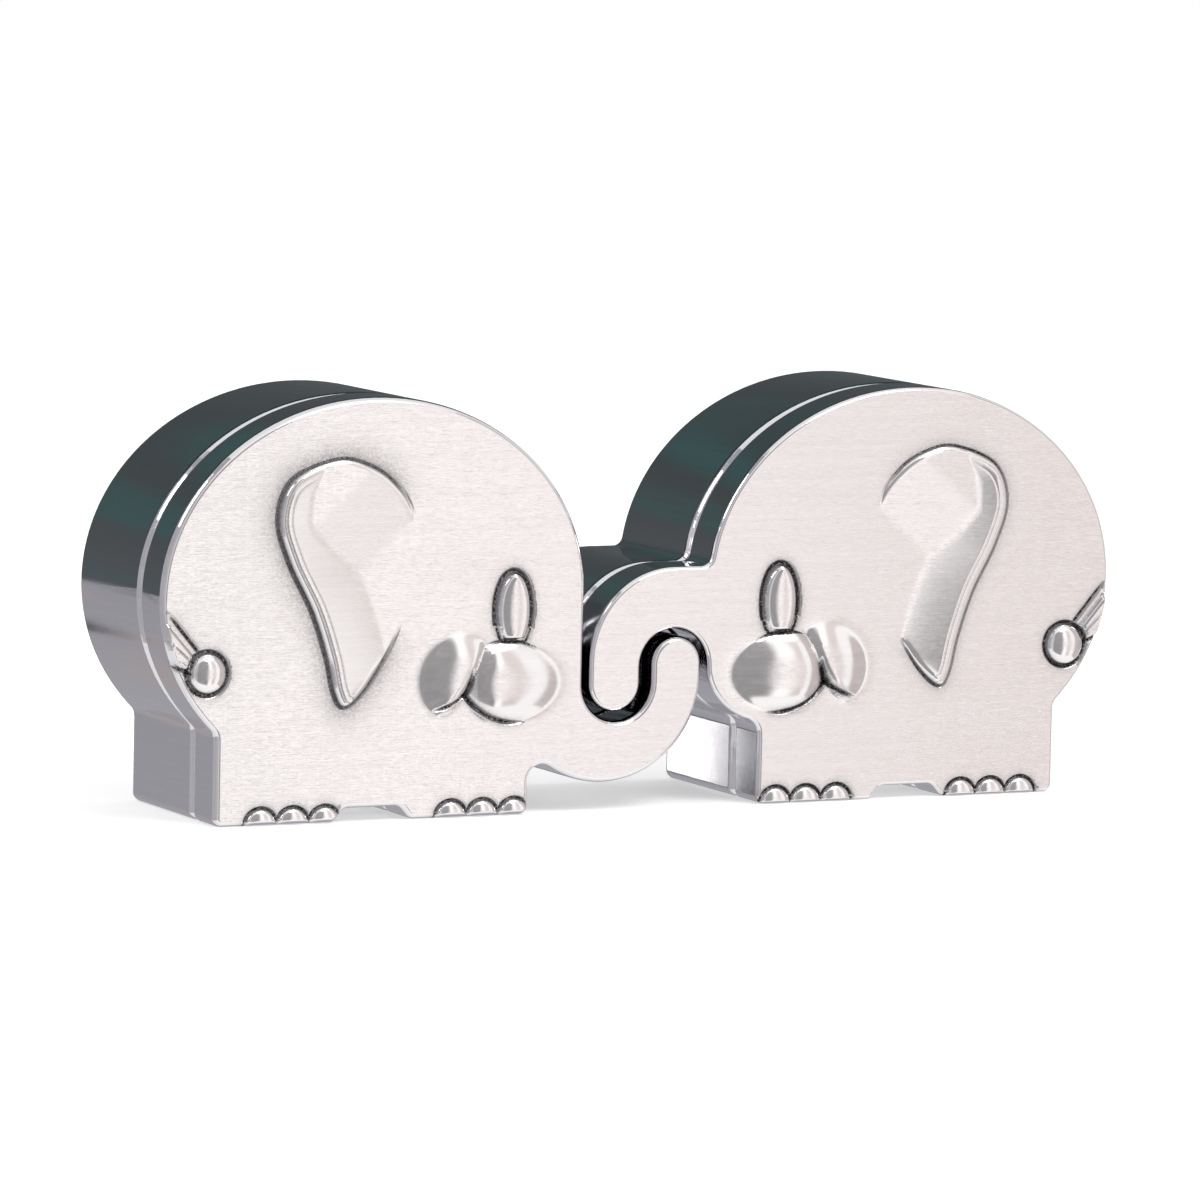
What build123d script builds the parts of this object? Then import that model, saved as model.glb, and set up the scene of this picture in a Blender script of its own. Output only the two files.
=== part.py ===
"""A pair of cast elephant keepsake boxes that hook together by their trunks.

Each box is an elephant seen from the side: a deep hollow base and a thinner lid
that closes its front. The lid carries the relief and pulls straight off.

Frame: millimetres, Z up, X towards the viewer's right, the relief faces -Y.
The origin is on the floor, in the middle of the pair.
"""

import os
from dataclasses import dataclass

from build123d import *

# Silhouette, shared by both boxes: a half-oval dome on two short legs.
dome_half_width = 25.6
dome_half_height = 22.0
belly_height = 3.0
leg_inset = 6.6
notch_half_width = 4.6
notch_height = 1.5
notch_slant = 1.3
chin_half_width = 8.4
chin_half_height = 6.9
chin_rise = 5.85
haunch_radius = 1.4
foot_corner_radius = 1.0
notch_corner_radius = 1.2
throat_radius = 1.8
nape_radius = 1.2

# Trunks: a thick hook, and the slot inside it that holds the other box's tip.
trunk_tip_radius = 3.15
trunk_gap = 0.7
slot_radius = 4.2
tip_headroom = 0.85
tip_footroom = 1.1
up_trunk_radius = 12.0
up_trunk_drop = 0.9
up_slot_drop = 1.8
down_trunk_top = 27.3

# Depth, from the flat of the lid's face to the back of the base.
box_depth = 24.0
lid_depth = 6.0
seam_gap = 0.2
wall = 2.0
lid_face_rounding = 0.7
lid_seam_rounding = 0.4
base_seam_bevel = 0.7
back_rounding = 0.8

# Chamber, and the rim of the lid that drops into its mouth.
chamber_floor_height = 12.0
chamber_corner_radius = 1.5
rim_length = 2.2
rim_thickness = 1.2
rim_clearance = 0.15
liner_thickness = 1.2
liner_clearance = 0.3

# Disc magnets, one in each leg on both sides of the seam.
magnet_radius = 2.5
magnet_thickness = 2.0
magnet_clearance = 0.05
magnet_inset = 7.0
magnet_height = 6.2

# Relief on the lid's face.
relief_embed = 0.6
ear_width = 16.5
ear_tip_height = 12.9
ear_top_inset = 6.9
ear_rear_inset = 13.7
ear_rise = 1.2
ear_fade_share = 0.8
ear_rim_width = 1.1
ear_dish_rise = 0.75
ear_dish_fade_share = 0.55
eye_offset = 0.1
eye_half_width = 1.95
eye_half_height = 4.1
eye_centre_rise = 3.2
eye_cheek_gap = 0.4
eye_rise = 0.8
eye_edge_radius = 0.6
eye_corner_radius = 0.9
groove_width = 0.5
groove_depth = 0.35
cheek_inset = 8.8
cheek_height = 14.9
cheek_half_width = 5.8
cheek_half_height = 4.5
cheek_rise = 1.3
cheek_edge_radius = 1.2
lip_offset = 8.8
lip_lift = 1.5
lip_half_length = 4.2
lip_half_width = 2.3
lip_tilt = 62.0
lip_rise = 0.8
lip_edge_radius = 0.6
tail_inset = 5.6
tail_height = 17.0
tail_radius = 1.9
tail_rise = 1.0
tail_stub_rise = 0.5
tail_stub_bevel = 0.35
toe_radius = 1.75
toe_rise = 0.5
toe_edge_radius = 0.3
toe_gap = 0.35
rear_toe_inset = 8.9
front_toe_inset = 5.6
toes_per_foot = 3

# How far a cutting shape runs past the surface that it cuts.
overrun = 1.0

# Places that follow the dome, the legs and the cheek.
dome_centre_height = belly_height + dome_half_height
leg_reach = dome_half_width - leg_inset
haunch_height = dome_centre_height - dome_half_height * (1 - (leg_reach / dome_half_width) ** 2) ** 0.5
chin_centre_height = haunch_height + chin_rise
magnet_reach = leg_reach - magnet_inset
ear_rear_reach = dome_half_width - ear_rear_inset
ear_length = dome_centre_height + dome_half_height - ear_top_inset - ear_tip_height
cheek_reach = dome_half_width - cheek_inset
eye_reach = cheek_reach - eye_offset
eye_base_height = cheek_height + cheek_half_height + eye_cheek_gap
eye_height = eye_base_height + eye_centre_rise
lip_reach = cheek_reach - lip_offset
lip_height = cheek_height + lip_lift
tail_reach = dome_half_width - tail_inset
rear_toe_reach = rear_toe_inset - leg_reach
front_toe_reach = leg_reach - front_toe_inset
toe_spacing = 2 * toe_radius + toe_gap

# The trunk's furthest reach, the spacing that hooks one trunk in the other's slot, and
# the heights that leave each tip its room in that slot.
trunk_reach = dome_half_width + 2 * slot_radius + 2 * trunk_tip_radius
body_spacing = dome_half_width + trunk_gap + trunk_reach
up_trunk_height = chin_centre_height - up_trunk_drop
up_slot_height = chin_centre_height - up_slot_drop
down_slot_height = chin_centre_height
up_tip_height = down_slot_height + slot_radius - trunk_tip_radius - tip_headroom
down_tip_height = up_slot_height - slot_radius + trunk_tip_radius + tip_footroom

# The ear's outline: shares of its width from the rear edge, and of its length from the tip.
ear_outline_shares = [
    (0.49, 0.00), (0.42, 0.06), (0.36, 0.20), (0.25, 0.39), (0.08, 0.59), (0.00, 0.77),
    (0.10, 0.925), (0.41, 1.00), (0.63, 0.98), (0.82, 0.91), (0.965, 0.785), (1.00, 0.575),
    (0.90, 0.35), (0.78, 0.20), (0.63, 0.065),
]

# The mouth, as shares of half the cheek's height from the cheek's centre.
mouth_corner_share = (-1.34, -0.25)
mouth_top_share = (-1.22, 0.49)
smile_mid_share = (-0.77, -0.87)
smile_end_share = (0.33, -1.05)
lip_line_mid_share = (-1.73, -0.51)
lip_line_end_share = (-2.18, -0.64)
brow_start_share = (-0.80, 0.93)
brow_mid_share = (-0.11, 1.06)
brow_end_share = (0.62, 0.92)

# The tail's stub and the two lines beside it, as shares of its ball's radius from the ball's centre.
tail_stub_shares = [(-0.95, 1.05), (-2.40, 2.75), (-2.05, 1.05), (-1.30, 0.20)]
tail_upper_line_shares = [(-0.75, 1.15), (-2.65, 3.45)]
tail_lower_line_shares = [(-0.95, -0.35), (-2.25, 0.60)]

# The cheek stands proudest, so the pair's depth runs from there to the back.
face_y = (cheek_rise - box_depth) / 2
toward_back = (0, 1, 0)
toward_viewer = (0, -1, 0)


@dataclass(frozen=True)
class Elephant:
    """Where one box stands and which way it looks."""

    name: str
    centre_x: float
    facing: int
    trunk_up: bool

    def plane(self, depth):
        """Upright plane behind the face by depth; its x runs towards the head, its y up."""
        return Plane(
            origin=(self.centre_x, face_y + depth, 0),
            x_dir=(self.facing, 0, 0),
            z_dir=(0, -self.facing, 0),
        )

    def point(self, reach, height, depth=0.0):
        """World point at a reach towards the head, a height and a depth behind the face."""
        return (self.centre_x + self.facing * reach, face_y + depth, height)


tooth = Elephant("tooth", -body_spacing / 2, 1, True)
curl = Elephant("curl", body_spacing / 2, -1, False)


def body_outline():
    """Adds dome, legs and head to the sketch in hand."""
    with Locations((0, dome_centre_height)):
        Ellipse(dome_half_width, dome_half_height)
    Rectangle(2 * leg_reach, dome_centre_height, align=(Align.CENTER, Align.MIN))
    with Locations((dome_half_width - chin_half_width, chin_centre_height)):
        Ellipse(chin_half_width, chin_half_height)
        Rectangle(chin_half_width, dome_centre_height - chin_centre_height, align=(Align.MIN, Align.MIN))


def raised_trunk_outline():
    """Adds the trunk that dips to the floor and turns up, with the slot open at its top."""
    slot_centre = dome_half_width + slot_radius
    slot_end = slot_centre + slot_radius
    trunk_centre = trunk_reach - up_trunk_radius
    root = trunk_centre - up_trunk_radius
    with BuildLine() as path:
        CenterArc((trunk_centre, up_trunk_height), up_trunk_radius, 180, 180)
        Line((trunk_reach, up_trunk_height), (trunk_reach, up_tip_height))
        CenterArc((trunk_reach - trunk_tip_radius, up_tip_height), trunk_tip_radius, 0, 180)
        Line((slot_end, up_tip_height), (slot_end, up_slot_height))
        CenterArc((slot_centre, up_slot_height), slot_radius, 0, -180)
        Polyline(
            (dome_half_width, up_slot_height),
            (dome_half_width, dome_centre_height),
            (root, dome_centre_height),
            (root, up_trunk_height),
        )
    make_face(path.edges())


def hooked_trunk_outline():
    """Adds the trunk that leaves the brow and hooks down, with the slot open at its foot."""
    slot_centre = dome_half_width + slot_radius
    slot_end = slot_centre + slot_radius
    trunk_radius = trunk_reach - slot_centre
    trunk_height = down_trunk_top - trunk_radius
    root = dome_half_width - chin_half_width
    with BuildLine() as path:
        CenterArc((slot_centre, trunk_height), trunk_radius, 90, -90)
        Line((trunk_reach, trunk_height), (trunk_reach, down_tip_height))
        CenterArc((trunk_reach - trunk_tip_radius, down_tip_height), trunk_tip_radius, 0, -180)
        Line((slot_end, down_tip_height), (slot_end, down_slot_height))
        CenterArc((slot_centre, down_slot_height), slot_radius, 0, 180)
        Polyline(
            (dome_half_width, down_slot_height),
            (root, down_slot_height),
            (root, down_trunk_top),
            (slot_centre, down_trunk_top),
        )
    make_face(path.edges())


def silhouette(elephant, plane):
    """The whole outline of one box as a sketch on the plane."""
    notch_shoulder = notch_half_width - notch_slant
    with BuildSketch(plane) as outline:
        body_outline()
        if elephant.trunk_up:
            raised_trunk_outline()
        else:
            hooked_trunk_outline()
        with BuildLine():
            Polyline(
                (-notch_half_width, 0),
                (-notch_shoulder, notch_height),
                (notch_shoulder, notch_height),
                (notch_half_width, 0),
                close=True,
            )
        make_face(mode=Mode.SUBTRACT)
        soften(outline, (-leg_reach, haunch_height), haunch_radius)
        soften(outline, (leg_reach, haunch_height), throat_radius)
        if not elephant.trunk_up:
            soften(outline, (dome_half_width, down_trunk_top), nape_radius)
        for side in (-1, 1):
            soften(outline, (side * leg_reach, 0), foot_corner_radius)
            soften(outline, (side * notch_half_width, 0), notch_corner_radius)
            soften(outline, (side * notch_shoulder, notch_height), notch_corner_radius)
    return outline.sketch


def soften(outline, corner, radius):
    """Rounds the outline's vertex that lies nearest to the corner."""
    fillet(outline.vertices().sort_by_distance(corner)[0], radius=radius)


def chamber_outline(inset):
    """The chamber's outline, drawn in by inset: the dome inside its wall, flat at its floor."""
    with BuildSketch() as outline:
        with Locations((0, dome_centre_height)):
            Ellipse(dome_half_width - wall - inset, dome_half_height - wall - inset)
        with Locations((0, chamber_floor_height + inset)):
            Rectangle(
                2 * dome_half_width, dome_half_height, align=(Align.CENTER, Align.MAX), mode=Mode.SUBTRACT
            )
        fillet(outline.vertices(), radius=chamber_corner_radius)
    return outline.sketch


def outer_edges(piece, end):
    """The edges round the outside of a piece's front (end 0) or rear (end -1) face."""
    return piece.faces().sort_by(Axis.Y)[end].outer_wire().edges()


def magnet_spots(elephant, depth):
    """Where the two magnets of one side of the seam are centred."""
    return Locations(*[elephant.point(side * magnet_reach, magnet_height, depth) for side in (-1, 1)])


def base(elephant):
    """The deep rear half: a cast tray with a chamber and two magnet pockets."""
    seam = lid_depth + seam_gap
    with BuildPart() as tray:
        add(silhouette(elephant, elephant.plane(seam)))
        extrude(amount=box_depth - seam, dir=toward_back)
        chamfer(outer_edges(tray, 0), length=base_seam_bevel)
        fillet(outer_edges(tray, -1), radius=back_rounding)
        with BuildSketch(elephant.plane(seam)):
            add(chamber_outline(0))
        extrude(amount=box_depth - seam - wall, dir=toward_back, mode=Mode.SUBTRACT)
        with magnet_spots(elephant, seam + magnet_thickness / 2):
            Cylinder(
                magnet_radius + magnet_clearance, magnet_thickness, rotation=(90, 0, 0), mode=Mode.SUBTRACT
            )
    tray.part.label = elephant.name + "_base"
    return tray.part


def sloped_plane(elephant, depth_at_rear, fade_share):
    """Plane at a depth at the ear's rear edge that crosses the face at a share of the ear's width."""
    run = fade_share * ear_width
    return Plane(
        origin=elephant.point(run - ear_rear_reach, 0),
        x_dir=(0, 0, 1),
        z_dir=(-elephant.facing * depth_at_rear, -run, 0),
    )


def ear_outline(margin=0.0):
    """The ear's outline, grown by a margin."""
    width = ear_width + 2 * margin
    length = ear_length + 2 * margin
    with BuildSketch() as outline:
        with BuildLine():
            Spline(
                *[
                    (width * across - ear_rear_reach - margin, ear_tip_height - margin + length * up)
                    for across, up in ear_outline_shares
                ],
                periodic=True,
            )
        make_face()
    return outline.sketch


def ear_slab(elephant, margin, rise, fade_share):
    """A slab of the ear's outline, proud at the rear edge and flush with the face further on."""
    with BuildPart() as slab:
        with BuildSketch(elephant.plane(relief_embed)):
            add(ear_outline(margin))
        extrude(amount=relief_embed + ear_rise, dir=toward_viewer)
        split(bisect_by=sloped_plane(elephant, -rise, fade_share), keep=Keep.BOTTOM)
    return slab.part


def ear_pad(elephant):
    """The ear: a rim along its rear edge and tip round a dish that sinks towards the eye."""
    with BuildPart() as pad:
        add(ear_slab(elephant, 0.0, ear_rise, ear_fade_share))
        with BuildSketch(elephant.plane(relief_embed)):
            add(ear_outline(-ear_rim_width))
        extrude(amount=relief_embed + ear_rise, dir=toward_viewer, mode=Mode.SUBTRACT)
        add(ear_slab(elephant, -ear_rim_width, ear_dish_rise, ear_dish_fade_share))
    return pad.part


def ear_moat(elephant):
    """The cut round the ear, deepest behind it and running out towards the eye."""
    with BuildPart() as moat:
        with BuildSketch(elephant.plane(groove_depth)):
            add(ear_outline(groove_width))
        extrude(amount=groove_depth + overrun, dir=toward_viewer)
        split(bisect_by=sloped_plane(elephant, groove_depth, ear_fade_share), keep=Keep.TOP)
    return moat.part


def button(elephant, reach, height, radius, rise):
    """A shallow round dome on the face, rooted a little way into it."""
    centre = elephant.point(reach, height)
    with BuildPart() as dome:
        with BuildSketch(Plane(origin=centre, x_dir=(1, 0, 0), z_dir=(0, 0, 1))):
            with BuildLine():
                Polyline((0, -rise), (0, relief_embed), (radius, relief_embed), (radius, 0))
                TangentArc((0, -rise), (radius, 0), tangent=(1, 0))
            make_face()
        revolve(axis=Axis(centre, toward_back))
    return dome.part


def eye_outline(margin=0.0):
    """The eye: an upright oval cut off where it meets the cheek."""
    with BuildSketch() as outline:
        with Locations((eye_reach, eye_height)):
            Ellipse(eye_half_width + margin, eye_half_height + margin)
        with Locations((eye_reach, eye_base_height - margin)):
            Rectangle(
                2 * eye_half_height, eye_half_height, align=(Align.CENTER, Align.MAX), mode=Mode.SUBTRACT
            )
        fillet(outline.vertices().group_by(Axis.Y)[0], radius=eye_corner_radius + margin)
    return outline.sketch


def cheek_outline():
    """The cheek: a broad oval."""
    with BuildSketch() as outline:
        with Locations((cheek_reach, cheek_height)):
            Ellipse(cheek_half_width, cheek_half_height)
    return outline.sketch


def lip_outline():
    """The lip: a leaning oval ahead of the mouth."""
    with BuildSketch() as outline:
        with Locations(Location((lip_reach, lip_height), lip_tilt)):
            Ellipse(lip_half_length, lip_half_width)
    return outline.sketch


def toe_outline(margin=0.0):
    """Every toe of both feet, cut off at the floor."""
    with BuildSketch() as outline:
        for foot in (rear_toe_reach, front_toe_reach):
            with Locations((foot, 0)):
                with GridLocations(toe_spacing, toe_spacing, toes_per_foot, 1):
                    Circle(toe_radius + margin)
        Rectangle(2 * dome_half_width, dome_half_width, align=(Align.CENTER, Align.MAX), mode=Mode.SUBTRACT)
    return outline.sketch


def tail_stub(elephant):
    """The tapered stub that joins the tail's ball to the rump."""
    tail = (-tail_reach, tail_height)
    with BuildPart() as stub:
        with BuildSketch(elephant.plane(relief_embed)):
            with BuildLine():
                Polyline(*[along(tail, tail_radius, share) for share in tail_stub_shares], close=True)
            make_face()
        extrude(amount=relief_embed + tail_stub_rise, dir=toward_viewer)
        chamfer(stub.faces().filter_by(Axis.Y).sort_by(Axis.Y)[0].edges(), length=tail_stub_bevel)
    return stub.part


def bead(elephant, outline, rise, edge_radius):
    """A raised pad of the outline's shape with a rounded edge."""
    with BuildPart() as pad:
        with BuildSketch(elephant.plane(relief_embed)):
            add(outline)
        extrude(amount=relief_embed + rise, dir=toward_viewer)
        fillet(pad.faces().filter_by(Axis.Y).group_by(Axis.Y)[0].edges(), radius=edge_radius)
    return pad.part


def along(centre, size, share):
    """The point that lies a share of the size away from the centre, along both axes."""
    return (centre[0] + size * share[0], centre[1] + size * share[1])


def engraved_lines():
    """The mouth, the line under the eye and the tail's lines as narrow strips."""
    cheek = (cheek_reach, cheek_height)
    tail = (-tail_reach, tail_height)
    corner = along(cheek, cheek_half_height, mouth_corner_share)
    with BuildSketch() as strips:
        with BuildLine():
            Line(along(cheek, cheek_half_height, mouth_top_share), corner)
            ThreePointArc(
                corner,
                along(cheek, cheek_half_height, smile_mid_share),
                along(cheek, cheek_half_height, smile_end_share),
            )
        trace(line_width=groove_width)
        with BuildLine():
            ThreePointArc(
                corner,
                along(cheek, cheek_half_height, lip_line_mid_share),
                along(cheek, cheek_half_height, lip_line_end_share),
            )
        trace(line_width=groove_width)
        with BuildLine():
            ThreePointArc(
                *[
                    along(cheek, cheek_half_height, share)
                    for share in (brow_start_share, brow_mid_share, brow_end_share)
                ]
            )
        trace(line_width=groove_width)
        for shares in (tail_upper_line_shares, tail_lower_line_shares):
            with BuildLine():
                Line(*[along(tail, tail_radius, share) for share in shares])
            trace(line_width=groove_width)
    return strips.sketch


def lid(elephant):
    """The front: relief outside, hollow inside, with a rim that drops into the chamber."""
    seam = lid_depth + seam_gap
    pads = [
        ear_pad(elephant),
        button(elephant, -tail_reach, tail_height, tail_radius, tail_rise),
        tail_stub(elephant),
        bead(elephant, cheek_outline(), cheek_rise, cheek_edge_radius),
        bead(elephant, eye_outline(), eye_rise, eye_edge_radius),
        bead(elephant, lip_outline(), lip_rise, lip_edge_radius),
        bead(elephant, toe_outline(), toe_rise, toe_edge_radius),
    ]
    with BuildPart() as front:
        add(silhouette(elephant, elephant.plane(0)))
        extrude(amount=lid_depth, dir=toward_back)
        fillet(outer_edges(front, 0), radius=lid_face_rounding)
        fillet(outer_edges(front, -1), radius=lid_seam_rounding)
        with BuildSketch(elephant.plane(lid_depth)):
            add(chamber_outline(rim_clearance))
        extrude(amount=rim_length, dir=toward_back)
        with BuildSketch(elephant.plane(wall)):
            add(chamber_outline(rim_clearance + rim_thickness))
        extrude(amount=lid_depth + rim_length, dir=toward_back, mode=Mode.SUBTRACT)
        with magnet_spots(elephant, lid_depth - magnet_thickness / 2):
            Cylinder(
                magnet_radius + magnet_clearance, magnet_thickness, rotation=(90, 0, 0), mode=Mode.SUBTRACT
            )
        add(ear_moat(elephant), mode=Mode.SUBTRACT)
        with BuildSketch(elephant.plane(groove_depth)):
            add(eye_outline(groove_width))
            add(toe_outline(groove_width))
            with Locations((-tail_reach, tail_height)):
                Circle(tail_radius + groove_width)
            add(engraved_lines())
        extrude(amount=groove_depth + overrun, dir=toward_viewer, mode=Mode.SUBTRACT)
        for pad in pads:
            add(pad)
    front.part.label = elephant.name + "_lid"
    return front.part


def liner(elephant):
    """The soft pad on the chamber's back wall."""
    with BuildPart() as pad:
        with BuildSketch(elephant.plane(box_depth - wall)):
            add(chamber_outline(liner_clearance))
        extrude(amount=liner_thickness, dir=toward_viewer)
    pad.part.label = elephant.name + "_liner"
    return pad.part


def magnets(elephant, half, depth):
    """The two disc magnets of one half, flush with the seam."""
    with BuildPart() as discs:
        with magnet_spots(elephant, depth):
            Cylinder(magnet_radius, magnet_thickness, rotation=(90, 0, 0))
    discs.part.label = elephant.name + "_" + half + "_magnets"
    return discs.part


os.makedirs("parts", exist_ok=True)
for box in (tooth, curl):
    for piece in (
        base(box),
        lid(box),
        liner(box),
        magnets(box, "base", lid_depth + seam_gap + magnet_thickness / 2),
        magnets(box, "lid", lid_depth - magnet_thickness / 2),
    ):
        export_step(piece, "parts/" + piece.label + ".step")
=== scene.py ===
"""Looks of the hooked pair of elephant keepsake boxes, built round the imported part.

Relief sizes are in millimetres, in each elephant's own face plane: reach runs towards
its head, height runs up. Everything placed in the scene is in metres.
"""

import logging
import math
from dataclasses import dataclass
from enum import Enum

import bmesh
import bpy
import numpy as np
from mathutils import Matrix, Vector

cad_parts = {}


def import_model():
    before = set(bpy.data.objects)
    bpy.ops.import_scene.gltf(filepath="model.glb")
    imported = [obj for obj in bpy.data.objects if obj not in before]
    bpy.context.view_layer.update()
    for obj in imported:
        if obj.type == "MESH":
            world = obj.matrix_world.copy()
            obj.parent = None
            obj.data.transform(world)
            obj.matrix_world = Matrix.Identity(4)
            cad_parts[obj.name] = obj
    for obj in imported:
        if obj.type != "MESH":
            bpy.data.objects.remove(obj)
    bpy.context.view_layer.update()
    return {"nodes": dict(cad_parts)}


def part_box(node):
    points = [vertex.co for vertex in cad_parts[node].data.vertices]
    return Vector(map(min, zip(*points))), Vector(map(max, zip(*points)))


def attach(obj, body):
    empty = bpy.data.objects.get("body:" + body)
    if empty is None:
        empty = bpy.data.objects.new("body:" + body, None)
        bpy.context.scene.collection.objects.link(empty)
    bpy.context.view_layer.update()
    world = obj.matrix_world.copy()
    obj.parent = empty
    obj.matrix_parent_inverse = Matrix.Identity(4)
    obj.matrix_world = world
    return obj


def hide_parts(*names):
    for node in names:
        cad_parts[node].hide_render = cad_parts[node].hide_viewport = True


MM = 0.001
TINY = 1e-12
BELL_POWER = 1.5
ARC_STEPS = 16
WHITE = (1, 1, 1, 1)
FRONT_ROW_Y = -1.2
FRONT_ROW_LEVEL = 0.2
FRONT_ROW_HEIGHT = 2.2
log = logging.getLogger("elephant_boxes")


class Facing(Enum):
    """Which way an elephant looks, as the sign of its reach along X."""

    RIGHT = 1
    LEFT = -1


class Zone(Enum):
    """How far from a fine line of the relief the face's mesh is cut finer."""

    FORM = 1.1
    LINE = 0.42


def ramp(value: np.ndarray, start: float, end: float) -> np.ndarray:
    """Smooth step of a value.

    Args:
        value: Values to compare.
        start: Where the step leaves 0.
        end: Where it reaches 1; may lie below start.

    Returns:
        A share from 0 to 1 for each value.
    """
    share = np.clip((value - start) / (end - start), 0, 1)
    return share * share * (3 - 2 * share)


def crown(depth_in: np.ndarray, radius: float) -> np.ndarray:
    """Quarter-round edge: 0 at an outline, 1 from one radius inside it.

    Args:
        depth_in: Distance inside the outline.
        radius: Radius of the rounding.

    Returns:
        The share of the full rise.
    """
    return np.sqrt(1 - np.clip(1 - depth_in / radius, 0, 1) ** 2)


def bell(distance: np.ndarray, half_width: np.ndarray | float) -> np.ndarray:
    """Round-bottomed groove profile: 1 on its line, 0 from its half width on."""
    return np.clip(1 - (distance / half_width) ** 2, 0, 1) ** BELL_POWER


def arc_through(start: tuple, middle: tuple, end: tuple) -> np.ndarray:
    """Points of the circular arc through three points.

    Args:
        start: First point.
        middle: A point on the way.
        end: Last point.

    Returns:
        The points, one a row.
    """
    a, b, c = (complex(*point) for point in (start, middle, end))
    chord = (c - a) / (b - a)
    centre = a - (a - b) * (chord - abs(chord) ** 2) / (chord - chord.conjugate())
    turn = np.angle((b - centre) / (a - centre)) + np.angle((c - centre) / (b - centre))
    points = centre + (a - centre) * np.exp(1j * turn * np.linspace(0, 1, ARC_STEPS + 1))
    return np.column_stack([points.real, points.imag])


def smooth_loop(points: list[tuple[float, float]], spans: int) -> np.ndarray:
    """Closed smooth curve through points.

    Args:
        points: The points that it passes, in order.
        spans: Steps between two neighbours.

    Returns:
        The sampled curve, one point a row.
    """
    knots = np.array(points, float)
    before, after, later = np.roll(knots, 1, 0), np.roll(knots, -1, 0), np.roll(knots, -2, 0)
    bend = 2 * before - 5 * knots + 4 * after - later
    twist = 3 * knots - before - 3 * after + later
    rows = [
        0.5 * (2 * knots + (after - before) * share + bend * share**2 + twist * share**3)
        for share in np.arange(spans) / spans
    ]
    return np.stack(rows, axis=1).reshape(-1, 2)


def nearest(spots: np.ndarray, route: np.ndarray) -> tuple[np.ndarray, np.ndarray]:
    """How far spots lie from an open route.

    Args:
        spots: Points, one a row.
        route: Corners of the route.

    Returns:
        The distance of each spot, and the share of the route at its nearest point.
    """
    best = np.full(len(spots), np.inf)
    share = np.zeros(len(spots))
    spans = len(route) - 1
    for index in range(spans):
        step = route[index + 1] - route[index]
        away = spots - route[index]
        along = np.clip(away @ step / (step @ step), 0, 1)
        gap = np.hypot(away[:, 0] - along * step[0], away[:, 1] - along * step[1])
        closer = gap < best
        best[closer] = gap[closer]
        share[closer] = (index + along[closer]) / spans
    return best, share


def depth_inside(spots: np.ndarray, loop: np.ndarray) -> np.ndarray:
    """Signed distance of spots inside a closed outline.

    Args:
        spots: Points, one a row.
        loop: Corners of the outline.

    Returns:
        The distance of each spot, above 0 inside the outline.
    """
    closed = np.vstack([loop, loop[:1]])
    gap, _ = nearest(spots, closed)
    inside = np.zeros(len(spots), bool)
    for start, end in zip(closed[:-1], closed[1:]):
        spans = (start[1] > spots[:, 1]) != (end[1] > spots[:, 1])
        rise = end[1] - start[1] or TINY
        cross = start[0] + (spots[:, 1] - start[1]) * (end[0] - start[0]) / rise
        inside ^= spans & (spots[:, 0] < cross)
    return np.where(inside, gap, -gap)


@dataclass
class Surface:
    """Heights, dark tone of the grooves and of the face round them, and nearness to fine lines over
    spots of one face.
    """

    spots: np.ndarray
    rise: np.ndarray
    patina_and_halo: np.ndarray
    line_gap: np.ndarray

    @classmethod
    def flat(cls, spots: np.ndarray) -> "Surface":
        """A bare flat face over the spots."""
        count = len(spots)
        return cls(spots, np.zeros(count), np.zeros(count), np.full(count, np.inf))

    def stand(self, height: np.ndarray, where: np.ndarray) -> None:
        """Raises the surface to a height where a mask holds."""
        self.rise = np.where(where, height, self.rise)

    def engrave(self, depth: np.ndarray, tone: np.ndarray) -> None:
        """Sinks the surface by a depth and darkens it by a tone."""
        self.rise = self.rise - depth
        self.patina_and_halo = np.maximum(self.patina_and_halo, tone)

    def watch(self, gap: np.ndarray) -> None:
        """Notes how far the spots are from a fine line."""
        self.line_gap = np.minimum(self.line_gap, np.abs(gap))


@dataclass(frozen=True)
class Groove:
    """The engraved line that outlines every part of the relief."""

    width: float = 0.5
    depth: float = 0.35
    tone: float = 1.0
    # The halo darkens the face round the groove, fading with distance from it.
    halo: float = 0.6
    halo_tone: float = 0.3
    halo_reach: float = 4.0
    least_share: float = 0.02

    def shade(self, off: np.ndarray) -> np.ndarray:
        """The halo's strength at a distance from the groove's middle."""
        return np.exp(-np.clip(off - self.width / 2, 0, None) / self.halo)

    def outline(self, surface: Surface, inside: np.ndarray, strength: np.ndarray | float) -> None:
        """Cuts the groove just outside an outline.

        Args:
            surface: The face.
            inside: Signed distance inside the outline.
            strength: How deep and dark the groove is, from 0 to 1.
        """
        off = np.abs(inside + self.width / 2)
        cut = bell(off, self.width / 2) * strength
        halo = self.halo_tone * (self.shade(off) * (inside < 0)) * strength
        surface.engrave(self.depth * cut, np.maximum(self.tone * cut, halo))
        surface.watch(inside + self.width / 2)

    def follow(self, surface: Surface, route: np.ndarray, taper: tuple[float, float]) -> None:
        """Cuts the groove along a route.

        Args:
            surface: The face.
            route: Corners of the route.
            taper: Share of the route over which each end runs out.
        """
        gap, share = nearest(surface.spots, route)
        fine = np.ones(len(gap))
        for run_out, from_end in zip(taper, (share, 1 - share)):
            if run_out:
                fine = np.minimum(fine, np.sqrt(np.clip(from_end / run_out, self.least_share, 1)))
        cut = bell(gap, self.width / 2 * fine) * fine
        halo = self.halo_tone * self.shade(gap) * fine * (gap < self.halo_reach * self.halo)
        surface.engrave(self.depth * cut, np.maximum(self.tone * cut, halo))
        surface.watch(gap)


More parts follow.
